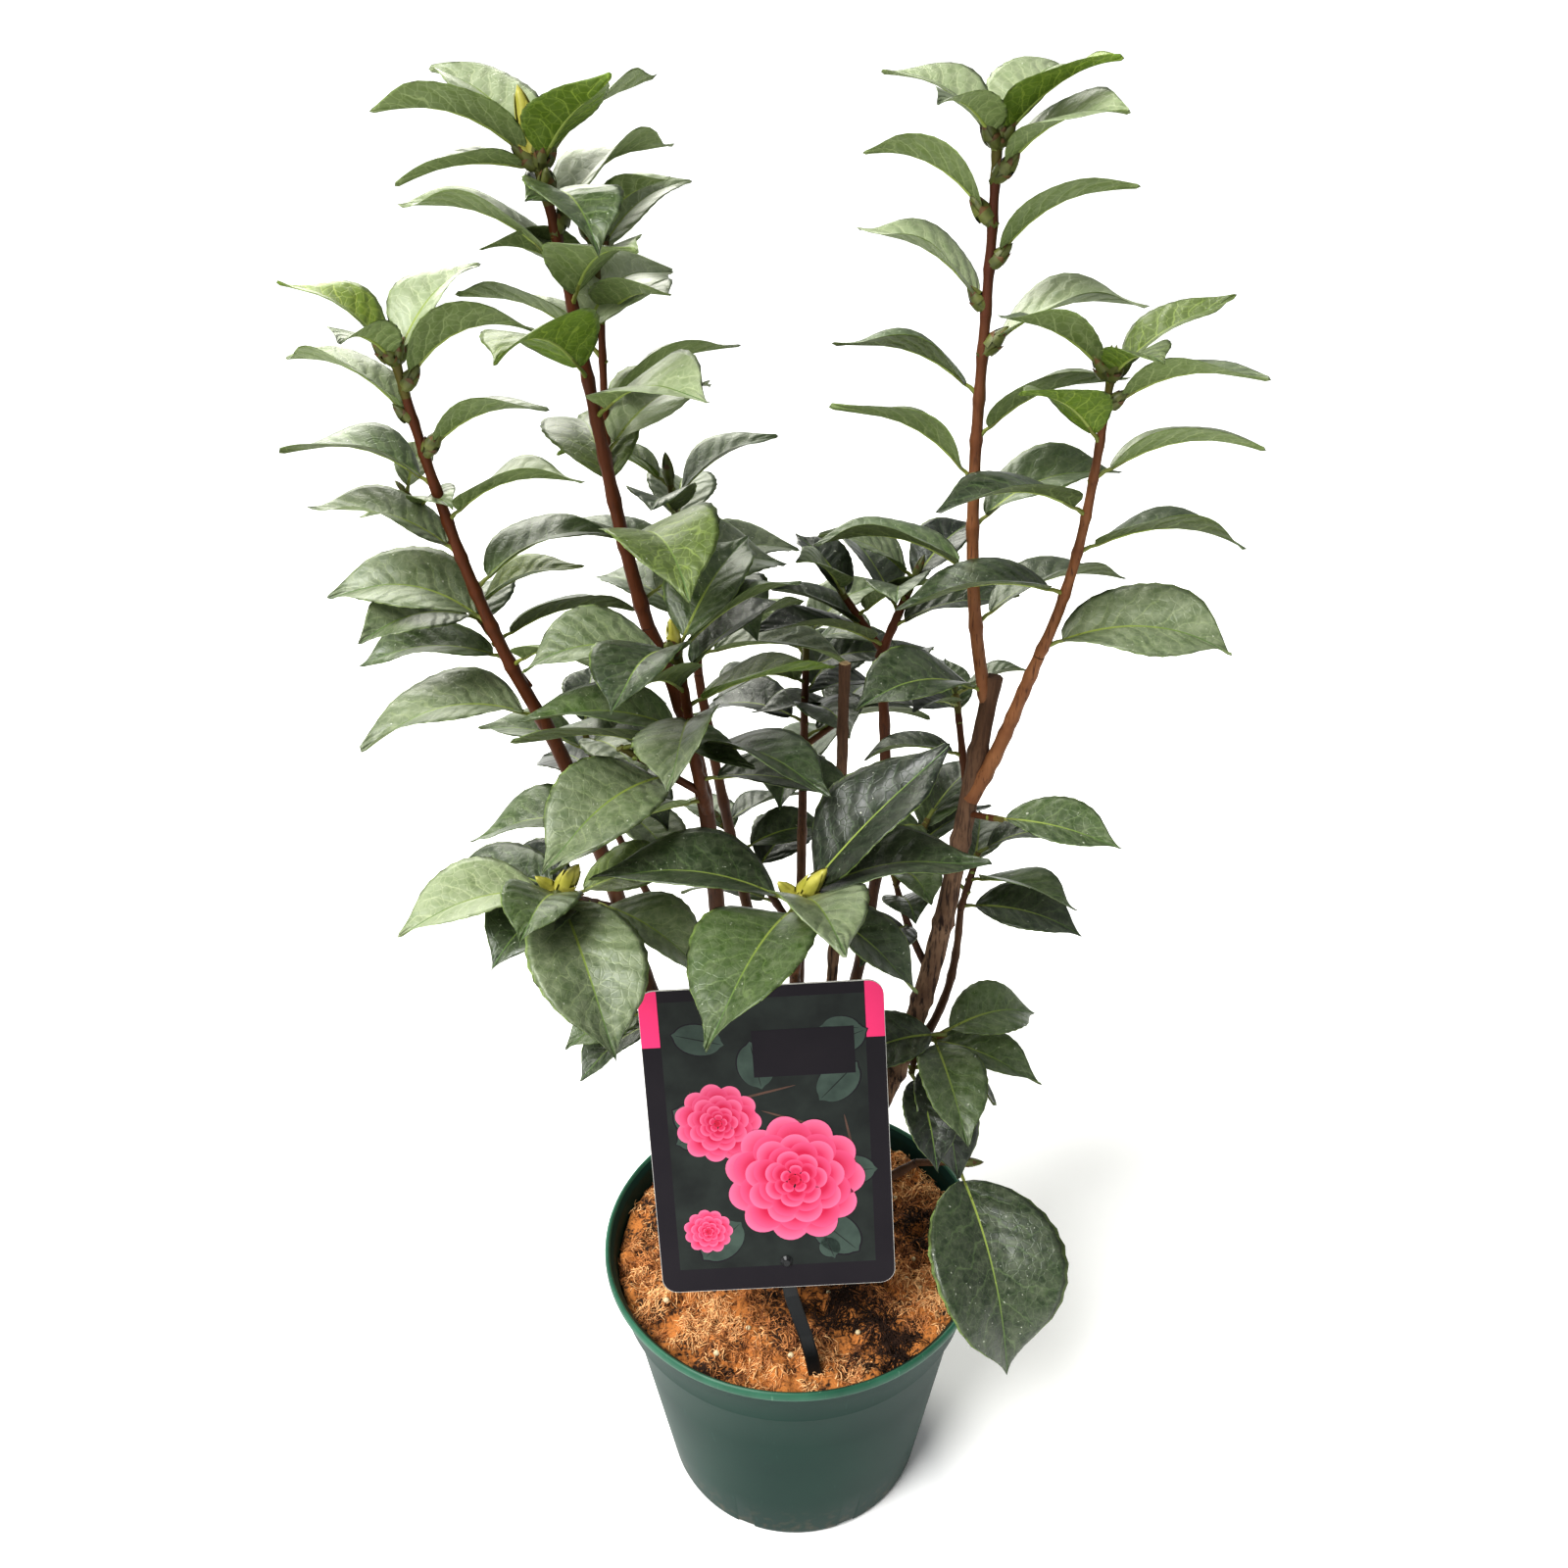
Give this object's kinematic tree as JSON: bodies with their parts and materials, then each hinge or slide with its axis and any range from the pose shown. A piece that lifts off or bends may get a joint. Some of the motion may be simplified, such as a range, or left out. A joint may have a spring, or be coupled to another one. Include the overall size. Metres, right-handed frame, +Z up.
{
  "type": "potted camellia shrub",
  "caption": "Young broad-leaved evergreen shrub with upright leafy stems in a tapered plastic nursery pot, with an unlettered picture label on a strap.",
  "frame": {"origin": "centre of the pot's flat underside", "axes": "+Z up along the pot's axis, -Y towards the side the label faces, +X to the right when seen from the label side"},
  "size_m": [0.3457, 0.2842, 0.6624],
  "materials": {
    "pot_plastic": "satin dark green, slightly scuffed",
    "potting_mix": "loose fibrous orange-brown compost",
    "card_plastic": "smooth printed sheet",
    "strap_plastic": "satin black",
    "bark": "finely fissured bark",
    "foliage": "leathery leaf with a waxy upper side"
  },
  "bodies": {
    "root": {"pot": "pot_plastic", "growing_medium": "potting_mix", "label_card": "card_plastic", "label_strap": "strap_plastic", "trunk": "bark", "stem_left": "bark", "stem_centre_left": "bark", "stem_right": "bark", "stem_right_outer": "bark", "stem_right_low": "bark", "stem_back_right": "bark", "stem_back": "bark", "stem_back_left": "bark", "stem_left_low": "bark", "stem_front": "bark", "stem_low_right": "bark", "pruned_stem": "bark", "foliage_left_leader": "foliage", "foliage_centre_left_leader": "foliage", "foliage_back_left": "foliage", "foliage_centre": "foliage", "foliage_front": "foliage", "foliage_back_right": "foliage", "foliage_right_leader": "foliage", "foliage_right_outer": "foliage", "foliage_right_inner": "foliage", "foliage_right_mid": "foliage", "foliage_right_low": "foliage", "foliage_right_base": "foliage", "foliage_low_right": "foliage", "foliage_left_low": "foliage", "foliage_left_inner": "foliage", "foliage_left_base": "foliage", "foliage_back": "foliage", "foliage_back_low": "foliage"}
  },
  "joints": []
}
